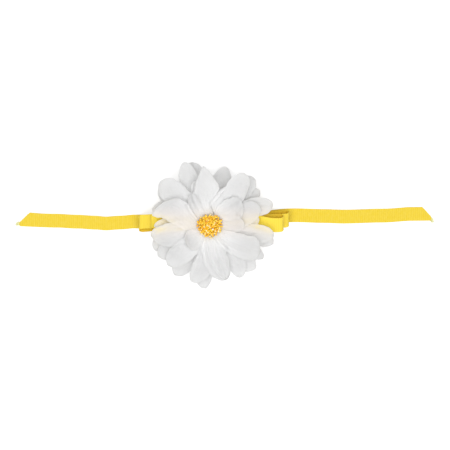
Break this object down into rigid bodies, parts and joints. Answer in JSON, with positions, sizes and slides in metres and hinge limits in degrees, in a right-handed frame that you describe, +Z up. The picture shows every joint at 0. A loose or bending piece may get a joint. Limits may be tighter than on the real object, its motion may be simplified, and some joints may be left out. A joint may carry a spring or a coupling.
{
  "type": "flower hair clip",
  "caption": "White fabric flower with a yellow stamen centre on a yellow ribbon bow with two long tails, bound to a sprung alligator clip that grips the hair.",
  "frame": {"origin": "on the table under the middle of the whole part, which lies on its clip with the flower up", "axes": "+X along the ribbon towards the longer tail, +Y across it towards the top of the picture, +Z up through the flower"},
  "size_m": [0.3082, 0.0948, 0.0336],
  "materials": {
    "petal_fabric": "thin sized white woven fabric, matte, a little see-through",
    "yellow_ribbon": "ribbed yellow grosgrain with a soft sheen",
    "stamen_plastic": "moulded golden yellow plastic",
    "white_felt": "pressed felt",
    "plated_steel": "nickel plated pressed steel"
  },
  "bodies": {
    "bow_and_upper_jaw": {"stamen_head": "stamen_plastic", "petal_layer_1": "petal_fabric", "petal_layer_2": "petal_fabric", "petal_layer_3": "petal_fabric", "petal_layer_4": "petal_fabric", "petal_layer_5": "petal_fabric", "felt_disc": "white_felt", "bow_inner_loops": "yellow_ribbon", "bow_outer_loops": "yellow_ribbon", "ribbon_tails": "yellow_ribbon", "centre_wrap": "yellow_ribbon", "clip_upper_jaw": "plated_steel", "hinge_pin": "plated_steel", "torsion_spring": "plated_steel"},
    "lower_jaw": {"clip_lower_jaw": "plated_steel"}
  },
  "joints": [
    {"name": "jaw_hinge", "type": "hinge", "parent": "bow_and_upper_jaw", "child": "lower_jaw", "pos_m": [-0.0199, 0.00116, 0.0075], "axis": [0, 1, 0], "range_deg": [0, 34], "stiffness_Nm_per_rad": 0.05, "springref_deg": -11.46, "deforming": ["torsion_spring"]}
  ]
}
